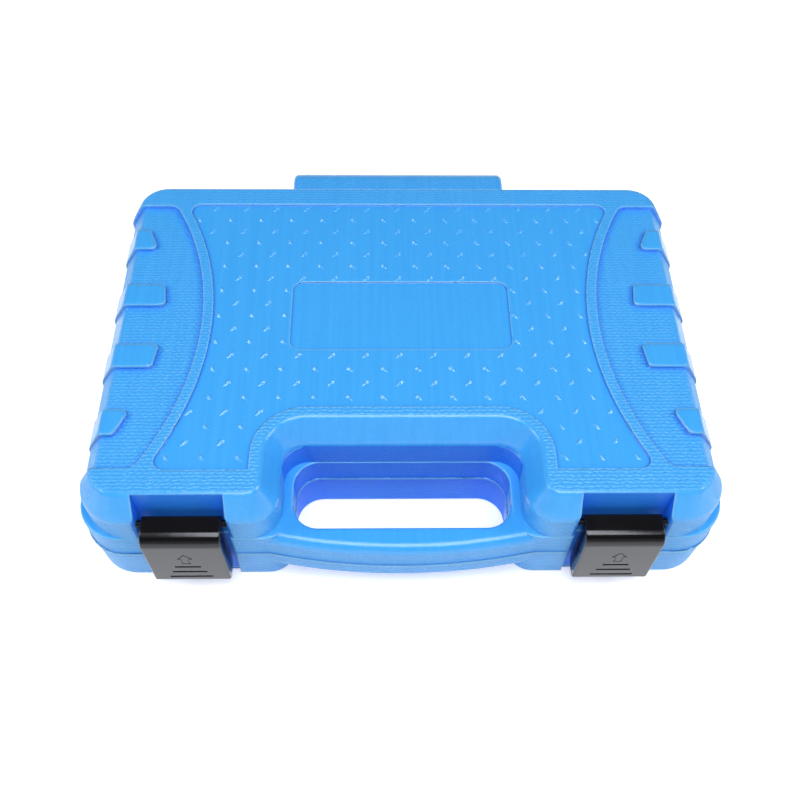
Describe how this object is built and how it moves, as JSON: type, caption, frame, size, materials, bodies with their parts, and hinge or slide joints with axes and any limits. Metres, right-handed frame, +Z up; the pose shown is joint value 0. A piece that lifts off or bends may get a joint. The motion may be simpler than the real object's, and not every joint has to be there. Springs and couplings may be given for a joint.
{
  "type": "socket wrench set in case",
  "caption": "Blow-moulded carrying case with a moulded handle, pinned hinge and two swing latches, holding a ratchet, sockets and extension bars in a tray.",
  "frame": {"origin": "centre of the case body's flat underside", "axes": "+X to the right along the long side, +Y from the handle to the hinge, +Z up through the lid"},
  "size_m": [0.3, 0.2396, 0.07],
  "materials": {
    "blue_shell": "grained, with smooth panels",
    "black_latch": "glossy",
    "steel_pin": "plain drawn rod",
    "chrome_tool": "satin chrome",
    "dark_steel": "blackened",
    "grip_plastic": "fine grain",
    "tray_plastic": "formed sheet",
    "soft_ring": "matt",
    "pad_foam": "open-cell foam"
  },
  "bodies": {
    "base": {"base_shell": "blue_shell", "tool_tray": "tray_plastic", "socket_10_mm": "chrome_tool", "socket_11_mm": "chrome_tool", "socket_12_mm": "chrome_tool", "socket_13_mm": "chrome_tool", "socket_14_mm": "chrome_tool", "socket_15_mm": "chrome_tool", "socket_16_mm": "chrome_tool", "socket_17_mm": "chrome_tool", "socket_18_mm": "chrome_tool", "socket_19_mm": "chrome_tool", "plug_socket_small": "chrome_tool", "plug_socket_large": "chrome_tool", "plug_insert_small": "soft_ring", "plug_insert_large": "soft_ring", "extension_long": "chrome_tool", "extension_short": "chrome_tool", "ratchet_body": "chrome_tool", "ratchet_cover": "chrome_tool", "cover_screws": "dark_steel", "ratchet_grip": "grip_plastic", "pawl_spring": "dark_steel"},
    "lid": {"lid_shell": "blue_shell", "lid_foam": "pad_foam", "hinge_pin": "steel_pin", "latch_pin_left": "steel_pin", "latch_pin_right": "steel_pin"},
    "left_latch": {"latch_left": "black_latch"},
    "right_latch": {"latch_right": "black_latch"},
    "drive": {"drive_gear": "dark_steel", "drive_ball": "dark_steel", "release_spring": "dark_steel"},
    "button": {"release_button": "chrome_tool"},
    "lever": {"reverse_lever": "dark_steel"},
    "pawl": {"pawl": "dark_steel"}
  },
  "joints": [
    {"name": "lid_hinge", "type": "hinge", "parent": "base", "child": "lid", "pos_m": [0, 0.1175, 0.041], "axis": [-1, 0, 0], "range_deg": [0, 110]},
    {"name": "left_latch_hinge", "type": "hinge", "parent": "lid", "child": "left_latch", "pos_m": [-0.0987, -0.0984, 0.0512], "axis": [-1, 0, 0], "range_deg": [0, 100]},
    {"name": "right_latch_hinge", "type": "hinge", "parent": "lid", "child": "right_latch", "pos_m": [0.0987, -0.0984, 0.0512], "axis": [-1, 0, 0], "range_deg": [0, 100]},
    {"name": "drive_turn", "type": "hinge", "parent": "base", "child": "drive", "pos_m": [-0.104, -0.03199, 0.02], "axis": [0, 0, 1], "continuous": true},
    {"name": "button_press", "type": "slide", "parent": "drive", "child": "button", "axis": [0, 0, -1], "range_m": [0, 0.0016], "stiffness_N_per_m": 800, "springref_m": -0.001, "deforming": ["release_spring"]},
    {"name": "lever_turn", "type": "hinge", "parent": "base", "child": "lever", "pos_m": [-0.087, -0.03199, 0.025], "axis": [0, 0, -1], "range_deg": [0, 40]},
    {"name": "pawl_rock", "type": "hinge", "parent": "base", "child": "pawl", "pos_m": [-0.087, -0.03199, 0.025], "axis": [0, 0, -1], "range_deg": [0, 12]}
  ],
  "couplings": [
    {"joint": "pawl_rock", "follows": "lever_turn", "ratio": 0.3}
  ]
}
